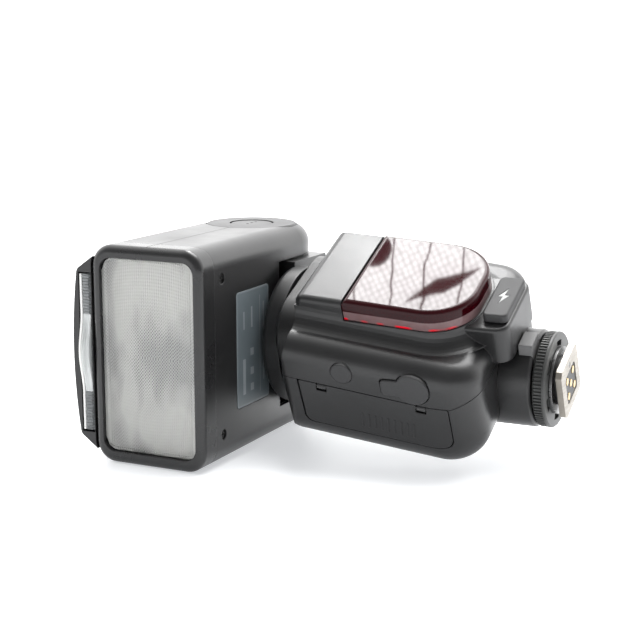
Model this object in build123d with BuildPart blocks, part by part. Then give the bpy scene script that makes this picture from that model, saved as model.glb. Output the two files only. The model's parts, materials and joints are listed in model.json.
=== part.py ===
"""Battery speedlight flash, lying on its side with the head swivelled.

Two working frames share one origin, on the swivel axis level with the tilt axis, with X along
the swivel axis towards the hot-shoe foot:
  head frame  x, y, z   y runs from the lens (-y) to the rear, z is the tilt axis
  body frame  x, v, f   v is across the body, f points out of the front; it is the head frame
                        turned by body_roll about X
Every piece is modelled straight, and is laid in the stored pose at the end.
"""

import os
from math import cos, radians, sin, tan

from build123d import *

os.makedirs("parts", exist_ok=True)

# ---------------------------------------------------------------- driving dimensions, mm
body_roll = 26.0  # how far the body is turned about the swivel axis in the stored pose
wall = 2.0
seam = 0.2  # visible parting lines
gap = 0.3  # between pieces that move against each other

head_width = 72.0  # along the tilt axis
head_thick = 41.0
head_corner = 7.0
lens_front = -58.5
case_front = -50.0  # where the bezel meets the two case halves
tilt_y = 13.0
drum_r = 19.5
drum_half = 24.8
shaft_r = 6.0
shaft_bore_r = 6.05
cheek_in = 25.5  # inner faces of the two cheeks beside the drum
cheek_wall = 1.8
drum_gap_r = 20.2
opening_from = -42.0  # the drum opening, as angles about the tilt axis from +X towards +Y
opening_to = 138.0

bump_x = 28.2  # panel housing, outermost at mid width
bump_edge_x = 26.2
bump_half = 27.5
slot_half = 26.6
slot_outer = 25.6
slot_inner = 20.75
panel_reach = 46.0

lens_x = 0.2
lens_w = 34.6
lens_h = 63.8
lens_r = 4.2

body_half = 33.2
body_start = 38.5
body_end = 101.5
body_slope = 7.2  # shoulders and back both fall towards the foot
shoulder_f = 19.4  # shoulder height at shoulder_x
shoulder_x = 57.0
body_depth = 40.4
bulge_start = 34.2  # the lower half of the head end stands forward to here
shoulder_r = 7.0
rear_r = 10.5
plan_head_r = 3.5
foot_corner_r = 15.0  # rear corner at the foot, seen from the side
pedestal_half = 20.0
pedestal_r = 16.2
pedestal_end = 97.0
pedestal_slope = 4.16
pedestal_f = 23.3  # height of the ledge under the window, at window_start
window_start = 55.4
window_end = 96.4
window_half = 19.7
window_r = 15.9
window_wall = 1.6
window_h = 7.2
block_top = 30.5

foot_f = -8.8
ring_r = 15.7
ring_start = 112.5
ring_end = 117.0
plate_start = 119.4
plate_end = 121.4
plate_side = 18.6  # hot-shoe foot plate, 2.0 thick

finished = {"head": {}, "body": {}}


def keep(group, name, piece):
    """Names a finished piece, in the group whose frame it is modelled in."""
    piece.part.label = name
    finished[group][name] = piece


def shoulder_at(x):
    return shoulder_f - (x - shoulder_x) * tan(radians(body_slope))


def back_at(x):
    return shoulder_at(x) - body_depth / cos(radians(body_slope))


def ledge_at(x):
    return pedestal_f - (x - window_start) * tan(radians(pedestal_slope))


def seam_at(x):
    return 8.2 - 0.135 * (min(x, 85.7) - body_start)


# ================================================================ HEAD
def head_form(inset, front):
    """Flat-sided form whose rear is a half round about the tilt axis."""
    radius = head_thick / 2 - inset
    half = head_width / 2 - inset
    with BuildPart() as form:
        with BuildSketch(Plane.XY.offset(-half)):
            with Locations((0, tilt_y)):
                Circle(radius)
            with Locations((0, (front + tilt_y) / 2)):
                Rectangle(2 * radius, tilt_y - front)
        extrude(amount=2 * half)
        rims = form.faces().filter_by(Axis.Z).edges().filter_by(Axis.X, reverse=True)
        fillet(rims, head_corner - inset)
    return form.part


def about_tilt(z_from, z_to, radius, mode=Mode.ADD):
    """A cylinder on the tilt axis, in the part being built."""
    with Locations((0, tilt_y, (z_from + z_to) / 2)):
        Cylinder(radius, abs(z_to - z_from), mode=mode)


head_outer = head_form(0, case_front)
head_inner = head_form(wall, case_front - 1)
inner_half = head_width / 2 - wall

with BuildPart() as drum_wall:
    about_tilt(-cheek_in - cheek_wall, cheek_in + cheek_wall, drum_gap_r + 1.5)
    add(head_inner, mode=Mode.INTERSECT)

cover_r = 16.3
cover_seat = 1.6
button_r = 7.6
with BuildPart() as pivot_bosses:
    for side in (-1, 1):
        about_tilt(side * cheek_in, side * inner_half, 10.0)
        about_tilt(side * (inner_half - 1.6), side * (inner_half + 0.2), cover_r + 1.7)
    add(head_form(wall - 0.2, case_front), mode=Mode.INTERSECT)

with BuildPart() as head_case:
    add(head_outer)
    add(head_inner, mode=Mode.SUBTRACT)
    add(drum_wall.part)
    add(pivot_bosses.part)
    # room for the drum and for the neck that the head tilts past
    about_tilt(-cheek_in, cheek_in, drum_gap_r, Mode.SUBTRACT)
    far = 60.0
    steps = [opening_from + i * (opening_to - opening_from) / 4 for i in range(5)]
    with BuildSketch(Plane.XY.offset(-cheek_in)):
        with BuildLine():
            Polyline(
                (0, tilt_y),
                *[(far * cos(radians(a)), tilt_y + far * sin(radians(a))) for a in steps],
                close=True,
            )
        make_face()
    extrude(amount=2 * cheek_in, mode=Mode.SUBTRACT)
    # bores for the tilt shaft, the button's well and the seats of the two pivot covers
    about_tilt(-30.6, 30.6, shaft_bore_r, Mode.SUBTRACT)
    about_tilt(29.9, 37, button_r + gap, Mode.SUBTRACT)
    for side in (-1, 1):
        about_tilt(side * (head_width / 2 - cover_seat), side * 37, cover_r + 0.2, Mode.SUBTRACT)


def rod_support(x, z):
    """Block on the inside of the case that holds the rear end of a guide rod."""
    with Locations((x, -4.5, z)):
        Box(3.6, 3.0, 4.4)


rod_x = 16.4
rod_z = 20.0
rod_r = 0.9
screw_y = -45.2
screw_z = 25.6
head_screw_spots = [(screw_y, screw_z), (screw_y, -screw_z)]

with BuildPart() as panel_bump:
    with BuildSketch(Plane.XZ.offset(-12)):
        with BuildLine():
            ThreePointArc((-bump_edge_x, bump_half), (-bump_x, 0), (-bump_edge_x, -bump_half))
            Polyline(
                (-bump_edge_x, -bump_half),
                (-19.6, -32.2),
                (-18.7, -31),
                (-18.7, 31),
                (-19.6, 32.2),
                (-bump_edge_x, bump_half),
            )
        make_face()
    extrude(amount=12 - lens_front - 0.5)
    outer_corners = panel_bump.edges().filter_by(Axis.Y).group_by(Axis.X)[0]
    fillet(outer_corners, 2.5)
    # the rear end slopes down to the case
    with BuildSketch(Plane.XY.offset(-40)):
        with BuildLine():
            Polyline((-29, -8), (-20.2, 12.5), (-40, 12.5), (-40, -8), close=True)
        make_face()
    extrude(amount=80, mode=Mode.SUBTRACT)
    # the slot that holds the two panels
    with BuildSketch(Plane.XZ.offset(9)):
        with Locations((-(slot_outer + slot_inner) / 2, 0)):
            Rectangle(slot_outer - slot_inner, 2 * slot_half)
    extrude(amount=60, mode=Mode.SUBTRACT)
    # it hugs the bezel and leaves room for the drum
    with BuildSketch(Plane.XZ.offset(-case_front)):
        RectangleRounded(head_thick + seam, head_width + seam, head_corner + seam / 2)
    extrude(amount=12, mode=Mode.SUBTRACT)
    about_tilt(-cheek_in, cheek_in, drum_gap_r, Mode.SUBTRACT)

with BuildPart() as head_top_case:
    add(head_case.part)
    split(bisect_by=Plane.YZ.offset(-seam / 2), keep=Keep.BOTTOM)
    add(panel_bump.part)
    rod_support(-rod_x, -rod_z)
    with Locations(Plane.XZ.offset(3)):
        with Locations((-rod_x, -rod_z)):
            Cylinder(rod_r, 10, mode=Mode.SUBTRACT)
keep("head", "head_top_case", head_top_case)

with BuildPart() as head_bottom_case:
    add(head_case.part)
    split(bisect_by=Plane.YZ.offset(seam / 2), keep=Keep.TOP)
    rod_support(rod_x, rod_z)
    with Locations(Plane.XZ.offset(3)):
        with Locations((rod_x, rod_z)):
            Cylinder(rod_r, 10, mode=Mode.SUBTRACT)
    # shallow seat of the rating plate
    with BuildSketch(Plane.YZ.offset(head_thick / 2 - 0.3)):
        with Locations((-24.9, 0)):
            RectangleRounded(22.4, 39.0, 1.3)
    extrude(amount=2, mode=Mode.SUBTRACT)
    with BuildSketch(Plane.YZ.offset(head_thick / 2 - 1.5)):
        with Locations(*head_screw_spots):
            Circle(1.75)
    extrude(amount=3, mode=Mode.SUBTRACT)
    with BuildSketch(Plane.YZ.offset(15)):
        with Locations(*head_screw_spots):
            Circle(0.9)
    extrude(amount=8, mode=Mode.SUBTRACT)
keep("head", "head_bottom_case", head_bottom_case)

with BuildPart() as lens_bezel:
    with BuildSketch(Plane.XZ.offset(-case_front)):
        RectangleRounded(head_thick, head_width, head_corner)
    extrude(amount=case_front - lens_front)
    fillet(lens_bezel.faces().sort_by(Axis.Y)[0].edges(), 2.4)
    with BuildSketch(Plane.XZ.offset(-case_front - 8)):
        RectangleRounded(head_thick - 2 * wall - 0.2, head_width - 2 * wall - 0.2, 5.0)
    extrude(amount=8)
    # clear way for the light, wider behind for the reflector
    with BuildSketch(Plane.XZ.offset(-case_front - 9)):
        RectangleRounded(33.6, 64.6, 3.4)
    extrude(amount=11.5, mode=Mode.SUBTRACT)
    with BuildSketch(Plane.XZ.offset(50)):
        with Locations((lens_x, 0)):
            RectangleRounded(28.8, 60.5, 2.6)
    extrude(amount=20, mode=Mode.SUBTRACT)
    with BuildSketch(Plane.XZ.offset(54.3)):
        with Locations((lens_x, 0)):
            RectangleRounded(lens_w + seam, lens_h + seam, lens_r + seam / 2)
    extrude(amount=20, mode=Mode.SUBTRACT)
    # parting nick at the middle of both short sides
    with Locations((0, -54.5, head_width / 2), (0, -54.5, -head_width / 2)):
        Box(0.3, 9.2, 0.8, mode=Mode.SUBTRACT)
    with BuildSketch(Plane.YZ.offset(15)):
        with Locations(*head_screw_spots):
            Circle(0.85)
    extrude(amount=6, mode=Mode.SUBTRACT)
keep("head", "lens_bezel", lens_bezel)

with BuildPart() as fresnel_lens:
    with BuildSketch(Plane.XZ.offset(54.3)):
        with Locations((lens_x, 0)):
            RectangleRounded(lens_w, lens_h, lens_r)
    extrude(amount=2.7)
    fillet(fresnel_lens.faces().sort_by(Axis.Y)[0].edges(), 0.6)
keep("head", "fresnel_lens", fresnel_lens)

with BuildPart() as rating_plate:
    with BuildSketch(Plane.YZ.offset(head_thick / 2 - 0.3)):
        with Locations((-24.9, 0)):
            RectangleRounded(22.2, 38.8, 1.2)
    extrude(amount=0.4)
keep("head", "rating_plate", rating_plate)

with BuildPart() as head_screws:
    with BuildSketch(Plane.YZ.offset(head_thick / 2 - 1.5)):
        with Locations(*head_screw_spots):
            Circle(1.6)
    extrude(amount=0.9)
    with BuildSketch(Plane.YZ.offset(16.9)):
        with Locations(*head_screw_spots):
            Circle(0.8)
    extrude(amount=2.5)
    with Locations(*[(head_thick / 2 - 0.6, y, z) for y, z in head_screw_spots]):
        Box(0.8, 2.0, 0.4, mode=Mode.SUBTRACT)
        Box(0.8, 0.4, 2.0, mode=Mode.SUBTRACT)
keep("head", "head_screws", head_screws)

cover_top = head_width / 2 - 0.05
with BuildPart() as pivot_cover_upper:
    about_tilt(head_width / 2 - cover_seat, cover_top, cover_r)
    chamfer(pivot_cover_upper.faces().sort_by(Axis.Z)[-1].edges(), 0.6)
    about_tilt(30, 38, button_r + gap, Mode.SUBTRACT)
keep("head", "pivot_cover_upper", pivot_cover_upper)

with BuildPart() as pivot_cover_lower:
    about_tilt(-cover_top, -head_width / 2 + cover_seat, cover_r)
    chamfer(pivot_cover_lower.faces().sort_by(Axis.Z)[0].edges(), 0.6)
keep("head", "pivot_cover_lower", pivot_cover_lower)

dot_pitch = 3.1
with BuildPart() as release_button:
    about_tilt(32.4, head_width / 2 - 0.2, button_r)
    fillet(release_button.faces().sort_by(Axis.Z)[-1].edges(), 0.8)
    with BuildSketch(Plane.XY.offset(head_width / 2 - 0.8)):
        with Locations(*[(0, tilt_y + i * dot_pitch) for i in (-1, 0, 1)]):
            Circle(0.55)
    extrude(amount=2, mode=Mode.SUBTRACT)
keep("head", "release_button", release_button)

with BuildPart() as release_spring:
    for level in (29.9, 30.75, 31.6):
        about_tilt(level, level + 0.6, 7.5)
        about_tilt(level, level + 0.6, 6.6, Mode.SUBTRACT)
    for turn in (0, 180):
        with BuildSketch(Plane.XY.offset(29.9)):
            with Locations((7.05 * cos(radians(turn)), tilt_y + 7.05 * sin(radians(turn)))):
                Rectangle(0.9, 1.4)
        extrude(amount=2.3)
keep("head", "release_spring", release_spring)

# ---- zoom optics
reflector_front = -50.0
reflector_depth = 20.0


def reflector_form(inset):
    """Half-elliptic trough along z with ends that lean inwards to the rear."""
    with BuildPart() as trough:
        with BuildSketch(Plane.XY.offset(-30)):
            with Locations((0, reflector_front)):
                Ellipse(14.9 - inset, reflector_depth - inset)
            with Locations((0, reflector_front - 15)):
                Rectangle(40, 30, mode=Mode.SUBTRACT)
        extrude(amount=60)
        with BuildSketch(Plane.YZ.offset(-20)):
            with BuildLine():
                Polyline(
                    (-51, 28.9 - inset),
                    (-51, -28.9 + inset),
                    (-30, -21 + inset),
                    (-30, 21 - inset),
                    close=True,
                )
            make_face()
        extrude(amount=40, mode=Mode.INTERSECT)
    return trough.part


tube_y = -34.6
with BuildPart() as reflector:
    add(reflector_form(0))
    add(reflector_form(0.5), mode=Mode.SUBTRACT)
    with Locations((0, tube_y, 0)):
        Cylinder(1.5, 60, mode=Mode.SUBTRACT)
keep("head", "reflector", reflector)

with BuildPart() as flash_tube:
    with Locations((0, tube_y, 0)):
        Cylinder(2.0, 42)
keep("head", "flash_tube", flash_tube)

with BuildPart() as tube_electrodes:
    with Locations((0, tube_y, 23), (0, tube_y, -23)):
        Cylinder(1.4, 4)
keep("head", "tube_electrodes", tube_electrodes)

zoom_screw_z = 30.9
carriage_y = reflector_front + reflector_depth
rod_spots = [(rod_x, rod_z), (-rod_x, -rod_z)]
with BuildPart() as zoom_carriage:
    with Locations((0, carriage_y + 0.8, 0)):
        Box(36.0, 1.6, 53.6)
    with Locations((0, -33.1, 26.0), (0, -33.1, -26.0)):
        Box(8, 9.8, 1.6)
    with Locations((0, -36.5, 29.9)):
        Box(5, 3, 6.2)
    with BuildSketch(Plane.XZ.offset(30)):
        with Locations(*rod_spots):
            Circle(1.55)
    extrude(amount=-6)
    with BuildSketch(Plane.XZ.offset(31)):
        with Locations(*rod_spots):
            Circle(rod_r + 0.05)
    extrude(amount=-8, mode=Mode.SUBTRACT)
    with BuildSketch(Plane.XZ.offset(39)):
        with Locations((0, zoom_screw_z)):
            Circle(1.08)
    extrude(amount=-5, mode=Mode.SUBTRACT)
keep("head", "zoom_carriage", zoom_carriage)

with BuildPart() as zoom_rods:
    with BuildSketch(Plane.XZ.offset(41.9)):
        with Locations(*rod_spots):
            Circle(rod_r)
    extrude(amount=-38.9)
keep("head", "zoom_rods", zoom_rods)

with BuildPart() as lead_screw:
    with BuildSketch(Plane.XZ.offset(46)):
        with Locations((0, zoom_screw_z)):
            Circle(1.0)
    extrude(amount=-33)
keep("head", "lead_screw", lead_screw)

with BuildPart() as zoom_motor:
    with BuildSketch(Plane.XZ.offset(20.5)):
        with Locations((0, zoom_screw_z)):
            Circle(3.05)
    extrude(amount=-10)
    with BuildSketch(Plane.XZ.offset(21)):
        with Locations((0, zoom_screw_z)):
            Circle(1.06)
    extrude(amount=-8.2, mode=Mode.SUBTRACT)
keep("head", "zoom_motor", zoom_motor)

with BuildPart() as trigger_coil:
    with Locations((-12, -9.8, -29.5)):
        Cylinder(3.0, 6.6)
keep("head", "trigger_coil", trigger_coil)

# ---- slide-out panels
panel_front = -57.8
tab_reach = 2.0
with BuildPart() as wide_panel:
    with Locations((-23.45, panel_front + panel_reach / 2, 0)):
        Box(1.5, panel_reach, 52)
    with Locations((-22.65, panel_front + 1.25, 0)):
        Box(3.1, 2.5, 52)
    with BuildSketch(Plane.YZ.offset(-24.2)):
        with BuildLine():
            ThreePointArc((panel_front, -13), (panel_front - tab_reach, 0), (panel_front, 13))
            Line((panel_front, 13), (panel_front, -13))
        make_face()
    extrude(amount=3.1)
keep("head", "wide_panel", wide_panel)

with BuildPart() as bounce_card:
    with Locations((-24.9, panel_front + panel_reach / 2, 0)):
        Box(0.8, panel_reach, 52)
keep("head", "bounce_card", bounce_card)

# ================================================================ SWIVEL
turn_top = 22.5
turn_bottom = 29.3
turn_r = 23.5
with BuildPart() as tilt_drum:
    about_tilt(-drum_half, drum_half, drum_r)
    about_tilt(-drum_half + 2, drum_half - 2, drum_r - 2.5, Mode.SUBTRACT)
    about_tilt(-30, 30, shaft_r, Mode.SUBTRACT)
    with Locations(Plane.YZ):
        with Locations((tilt_y, 0)):
            Cylinder(5, 40, align=(Align.CENTER, Align.CENTER, Align.MIN), mode=Mode.SUBTRACT)
keep("head", "tilt_drum", tilt_drum)

with BuildPart() as tilt_shaft:
    about_tilt(-30.3, 29.6, shaft_r)
    about_tilt(-31, 31, shaft_r - 1.8, Mode.SUBTRACT)
keep("head", "tilt_shaft", tilt_shaft)

hub_r = 10.0
with BuildPart() as swivel_base:
    with BuildSketch(Plane.YZ.offset(turn_top)):
        Circle(turn_r)
    extrude(amount=turn_bottom - turn_top)
    fillet(swivel_base.faces().sort_by(Axis.X)[0].edges(), 2.2)
    with Locations(((turn_top + 8) / 2, tilt_y, 0)):
        Box(turn_top - 8 + 2, 25, 2 * drum_half)
    about_tilt(-40, 40, drum_r, Mode.SUBTRACT)
    with Locations((0, tilt_y - 13, 0)):
        Box(18, 40, 60, mode=Mode.SUBTRACT)
    with BuildSketch(Plane.YZ.offset(turn_bottom)):
        Circle(hub_r)
    extrude(amount=8.9)
    with BuildSketch(Plane.YZ.offset(5)):
        Circle(7.0)
    extrude(amount=40, mode=Mode.SUBTRACT)
keep("head", "swivel_base", swivel_base)

with BuildPart() as swivel_retainer:
    with BuildSketch(Plane.YZ.offset(36.8)):
        Circle(13.0)
        Circle(hub_r, mode=Mode.SUBTRACT)
    extrude(amount=1.2)
keep("head", "swivel_retainer", swivel_retainer)

# ================================================================ BODY  (x, v, f)
slope = radians(body_slope)


def section_plane(x):
    """Square to the sloped body at x, centred between shoulder and back."""
    return Plane(
        origin=(x, 0, shoulder_at(x) - body_depth / 2 / cos(slope)),
        x_dir=(0, 1, 0),
        z_dir=(cos(slope), 0, -sin(slope)),
    )


def body_block(inset, head_outline, head_r):
    """Block whose shoulders and back fall towards the foot, cut to an outline at its head end."""
    half = body_half - inset
    lift = inset / cos(slope)
    foot = body_end - inset
    plan_r = plan_head_r - inset / 2
    with BuildPart() as block:
        with BuildSketch(Plane.XZ.offset(-half)):
            with BuildLine():
                FilletPolyline(
                    (0, back_at(0) + lift),
                    (foot, back_at(foot) + lift),
                    (foot, shoulder_at(foot) - lift),
                    (0, shoulder_at(0) - lift),
                    radius=[0, foot_corner_r - inset, 0, 0],
                    close=True,
                )
            make_face()
        extrude(amount=2 * half)
        low_edges = [
            edge
            for edge in block.edges()
            if abs(abs(edge.center().Y) - half) < 0.01
            and edge.center().X > 1
            and edge.center().Z < shoulder_at(edge.center().X) - lift - 1
        ]
        fillet(low_edges, rear_r - inset)
        top_edges = block.faces().sort_by(Axis.Z)[-1].edges()
        fillet([edge for edge in top_edges if edge.center().X > 1], shoulder_r - inset)
        with BuildSketch(Plane.XZ.offset(-40)):
            with BuildLine():
                FilletPolyline(*head_outline, radius=head_r, close=True)
            make_face()
        extrude(amount=80, mode=Mode.INTERSECT)
        with BuildSketch(Plane.XY.offset(-40)):
            with BuildLine():
                FilletPolyline(
                    (head_outline[0][0], -half),
                    (body_end, -half),
                    (body_end, half),
                    (head_outline[0][0], half),
                    radius=[plan_r, 0, 0, plan_r],
                    close=True,
                )
            make_face()
        extrude(amount=80, mode=Mode.INTERSECT)
    return block.part


above = 40.0  # beyond the body's highest point
# from the head-end corner at the back, round by the foot, to the bulge of the head end
head_shape = [
    (bulge_start, back_at(bulge_start)),
    (body_end, back_at(body_end)),
    (body_end, above),
    (body_start, above),
    (body_start, shoulder_at(body_start)),
    (bulge_start, 2.0),
]
core = body_block(0, head_shape, [12, 0, 0, 0, 0, 30])

cavity_low = body_start + wall
cavity_lift = wall / cos(slope)
cavity_shape = [
    (cavity_low, back_at(cavity_low) + cavity_lift),
    (body_end, back_at(body_end) + cavity_lift),
    (body_end, above),
    (cavity_low, above),
]
cavity = body_block(wall, cavity_shape, [5, 0, 0, 0])


def d_prism(start, end, half, corner, f_low, top_start, top_end):
    """Upright prism, straight at the head side and rounded at the foot side, with a sloped top."""
    with BuildPart() as prism:
        with BuildSketch(Plane.XY.offset(f_low)):
            with BuildLine():
                FilletPolyline(
                    (start, -half),
                    (end, -half),
                    (end, half),
                    (start, half),
                    radius=[0, corner, corner, 0],
                    close=True,
                )
            make_face()
        extrude(amount=40)
        with BuildSketch(Plane.XZ.offset(-40)):
            with BuildLine():
                Polyline(
                    (start - 1, f_low - 1),
                    (end + 1, f_low - 1),
                    (end + 1, top_end),
                    (start - 1, top_start),
                    close=True,
                )
            make_face()
        extrude(amount=80, mode=Mode.INTERSECT)
    return prism.part


def pedestal(inset):
    """Raised floor under the window."""
    start = body_start + inset
    end = pedestal_end - inset
    top_start = ledge_at(start - 1) - inset
    top_end = ledge_at(end + 1) - inset
    return d_prism(start, end, pedestal_half - inset, pedestal_r - inset, 0, top_start, top_end)


cove_r = 6.0
cove_steps = [0, 10, 20, 30, 40, 51, 63, 76, 90]  # degrees, from the shoulder to the wall


def cove():
    """Soft concave flare between the raised floor and the shoulders."""
    with BuildPart() as flare:
        for step in cove_steps:
            rise = cove_r * (1 - cos(radians(step)))
            spread = cove_r * (1 - sin(radians(step)))
            level = Plane(
                origin=(0, 0, shoulder_at(0) - 0.05 + rise / cos(slope)),
                x_dir=(cos(slope), 0, -sin(slope)),
                z_dir=(sin(slope), 0, cos(slope)),
            )
            half = pedestal_half + spread
            corner = pedestal_r + spread
            end = (pedestal_end + spread) / cos(slope)
            with BuildSketch(level):
                with BuildLine():
                    FilletPolyline(
                        (10, -half),
                        (end, -half),
                        (end, half),
                        (10, half),
                        radius=[0, corner, corner, 0],
                        close=True,
                    )
                make_face()
        loft(ruled=True)
        with BuildSketch(Plane.XZ.offset(-40)):
            with BuildLine():
                Polyline(
                    (body_start, 0),
                    (body_end, 0),
                    (body_end, ledge_at(body_end)),
                    (window_start - seam, ledge_at(window_start - seam)),
                    (window_start - seam, above),
                    (body_start, above),
                    close=True,
                )
            make_face()
        extrude(amount=80, mode=Mode.INTERSECT)
    return flare.part


block_r = 2.0
block_end = window_start - seam
block_low = 5.0
with BuildPart() as front_block:
    with BuildSketch(Plane.XZ.offset(-pedestal_half)):
        with BuildLine():
            FilletPolyline(
                (body_start, block_low),
                (block_end, block_low),
                (block_end, block_top - 0.5),
                (body_start, block_top + 0.6),
                radius=[0, 0, 0, 3.0],
                close=True,
            )
        make_face()
    extrude(amount=2 * pedestal_half)
    top_sides = [
        edge
        for edge in front_block.edges()
        if abs(abs(edge.center().Y) - pedestal_half) < 0.01 and edge.center().Z > block_top - 4
    ]
    fillet(top_sides, block_r)

# the lower block that carries the power socket
lower_start = 84.0
lower_end = 107.3
lower_half = 14.3
lower_top = 20.0
lower_bottom = 7.3
with BuildPart() as lower_block:
    with BuildSketch(Plane.XY.offset(lower_bottom)):
        with Locations(((lower_start + lower_end) / 2, 0)):
            RectangleRounded(lower_end - lower_start, 2 * lower_half, 4.5)
    extrude(amount=lower_top - lower_bottom)
    fillet(lower_block.faces().sort_by(Axis.Z)[-1].edges(), 1.2)

with BuildPart() as body_outer:
    add(core)
    add(pedestal(0))
    add(cove())
    add(front_block.part)
    add(lower_block.part)

block_room = (block_end - wall - cavity_low, 2 * (pedestal_half - wall), block_top - wall - 6)
lower_room_start = 90.0
lower_room = (
    lower_end - wall - lower_room_start,
    2 * (lower_half - wall),
    lower_top - lower_bottom - 2 * wall,
)
with BuildPart() as body_inner:
    add(cavity)
    add(pedestal(wall))
    with Locations((cavity_low + block_room[0] / 2, 0, block_low + block_room[2] / 2)):
        Box(*block_room)
    with Locations((lower_room_start + lower_room[0] / 2, 0, (lower_bottom + lower_top) / 2)):
        Box(*lower_room)

seam_points = [(30, seam_at(30)), (85.7, seam_at(85.7)), (92.5, 1.7), (101.5, 5.0), (120, 5.0)]


def beyond_seam(shift, f_limit):
    """Everything on one side of the parting line between front and rear housing."""
    with BuildPart() as half_space:
        with BuildSketch(Plane.XZ.offset(-50)):
            with BuildLine():
                Polyline(
                    *[(x, f + shift) for x, f in seam_points],
                    (120, f_limit),
                    (30, f_limit),
                    close=True,
                )
            make_face()
        extrude(amount=100)
    return half_space.part


near_v = -body_half
cap_spot = (57.5, 12.0)
cap_r = 3.7
sync_spot = (81.1, 8.4)
sync_r = 5.6
sync_tab_end = 70.6
sync_tab_half = 3.0


def sync_outline(extra):
    """Round cover with a strap towards the head, on the near side of the body."""
    with BuildSketch(Plane.XZ.offset(body_half)) as outline:
        with Locations(sync_spot):
            Circle(sync_r + extra)
        with Locations(((sync_tab_end + sync_spot[0]) / 2, sync_spot[1])):
            RectangleRounded(
                sync_spot[0] - sync_tab_end + 2 * extra, 2 * (sync_tab_half + extra), 1.5
            )
    return outline.sketch


socket_x = 102.5
# the collar stands in a pocket of both housings
collar_f = 1.0
with BuildPart() as collar_pocket:
    with BuildSketch(Plane.YZ.offset(25)):
        with Locations((0, collar_f)):
            RectangleRounded(47.5, 44.5, 13.2)
    extrude(amount=11.5)
    with BuildSketch(Plane.YZ.offset(25)):
        with Locations((0, collar_f)):
            RectangleRounded(40.4, 37.4, 11.2)
    extrude(amount=13.7)

with BuildPart() as front_housing:
    add(body_outer.part)
    add(body_inner.part, mode=Mode.SUBTRACT)
    add(beyond_seam(seam / 2, 60), mode=Mode.INTERSECT)
    # pocket of the collar, and the hole for the swivel hub and its cable
    add(collar_pocket.part, mode=Mode.SUBTRACT)
    with Locations((body_start, 0, 0)):
        Cylinder(7.5, 10, rotation=(0, 90, 0), mode=Mode.SUBTRACT)
    # seats of the side cap and the sync cover, and the sync socket's hole
    with Locations((cap_spot[0], near_v, cap_spot[1])):
        Cylinder(cap_r + 0.1, 1.8, rotation=(90, 0, 0), mode=Mode.SUBTRACT)
    extrude(sync_outline(gap), amount=-0.9, mode=Mode.SUBTRACT)
    with Locations((sync_spot[0], near_v, sync_spot[1])):
        Cylinder(3.6, 10, rotation=(90, 0, 0), mode=Mode.SUBTRACT)
    # power socket's hole
    with Locations((socket_x, 0, lower_top)):
        Box(4.4, 12.4, 8, mode=Mode.SUBTRACT)
keep("body", "front_housing", front_housing)

# ---- rear housing, battery door and everything on the sloped back
door_head = 41.35
door_head_gap = 0.55  # the slanted hinge swings the door towards the head
door_foot = 91.85
door_foot_gap = 0.35
door_v = -30.6  # how deep the door's edges reach


def door_prism(extra, v_limit):
    """The door's outline in the side of the body, grown by extra."""
    head = door_head - extra / seam * door_head_gap
    foot = door_foot + extra / seam * door_foot_gap
    top = extra - 0.25
    with BuildPart() as prism:
        with BuildSketch(Plane.XZ.offset(-v_limit)):
            with BuildLine():
                FilletPolyline(
                    (head, seam_at(head) + top),
                    (85.7, seam_at(85.7) + top),
                    (foot, seam_at(85.7) + top),
                    (foot, -13.4 - extra),
                    (86.0, -14.8 - extra),
                    (head, -9.2 - extra),
                    radius=[0.4, 0, 0.8, 4, 12, 3],
                    close=True,
                )
            make_face()
        extrude(amount=20)
    return prism.part


rear_plane = Plane(
    origin=(70, 0, back_at(70)),
    x_dir=(cos(slope), 0, -sin(slope)),
    z_dir=(-sin(slope), 0, -cos(slope)),
)
lcd_spot = (-15.2, 0)
key_row = 0.5
key_spots = {"mode_key": -18, "zoom_key": -6, "minus_key": 6, "plus_key": 18}
dial_u = 15.0
dial_r = 9.0
round_keys = {"test_button": 19.5, "power_button": -19.5}
rear_screws = [(-23.0, w) for w in (-22.4, 22.4)]  # hooks hold the foot end

with BuildPart() as rear_housing:
    add(body_outer.part)
    add(body_inner.part, mode=Mode.SUBTRACT)
    add(beyond_seam(-seam / 2, -60), mode=Mode.INTERSECT)
    add(door_prism(seam, door_v + 0.2), mode=Mode.SUBTRACT)
    add(collar_pocket.part, mode=Mode.SUBTRACT)
    with Locations((body_start, 0, 0)):
        Cylinder(7.5, 10, rotation=(0, 90, 0), mode=Mode.SUBTRACT)
    with BuildSketch(rear_plane.offset(-1.0)):
        with Locations(lcd_spot):
            RectangleRounded(21.2, 38.2, 2.1)
    extrude(amount=4, mode=Mode.SUBTRACT)
    with BuildSketch(rear_plane.offset(-1.2)):
        with Locations((dial_u, 0)):
            Circle(dial_r + gap)
        with Locations(*rear_screws):
            Circle(1.75)
    extrude(amount=4, mode=Mode.SUBTRACT)
    with BuildSketch(rear_plane.offset(-5)):
        with Locations(lcd_spot):
            RectangleRounded(18.4, 34.4, 1.5)
        with Locations(*[(key_row, w) for w in key_spots.values()]):
            RectangleRounded(4.4 + 2 * gap, 8.6 + 2 * gap, 2.1 + gap)
        with Locations(*[(dial_u, w) for w in round_keys.values()]):
            Circle(3.4 + gap)
        with Locations((dial_u, 0)):
            Circle(4.4 + gap)
        with Locations(*rear_screws):
            Circle(0.9)
    extrude(amount=10, mode=Mode.SUBTRACT)
    # way through to the foot
    with Locations((body_end, 0, foot_f)):
        Cylinder(8.0, 12, rotation=(0, 90, 0), mode=Mode.SUBTRACT)
keep("body", "rear_housing", rear_housing)

for key, w in key_spots.items():
    with BuildPart() as rear_key:
        with BuildSketch(rear_plane.offset(-2.6)):
            with Locations((key_row, w)):
                RectangleRounded(4.4, 8.6, 2.1)
        extrude(amount=3.4)
        fillet(rear_key.faces().sort_by(Axis.Z)[0].edges(), 0.5)
    keep("body", key, rear_key)

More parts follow.
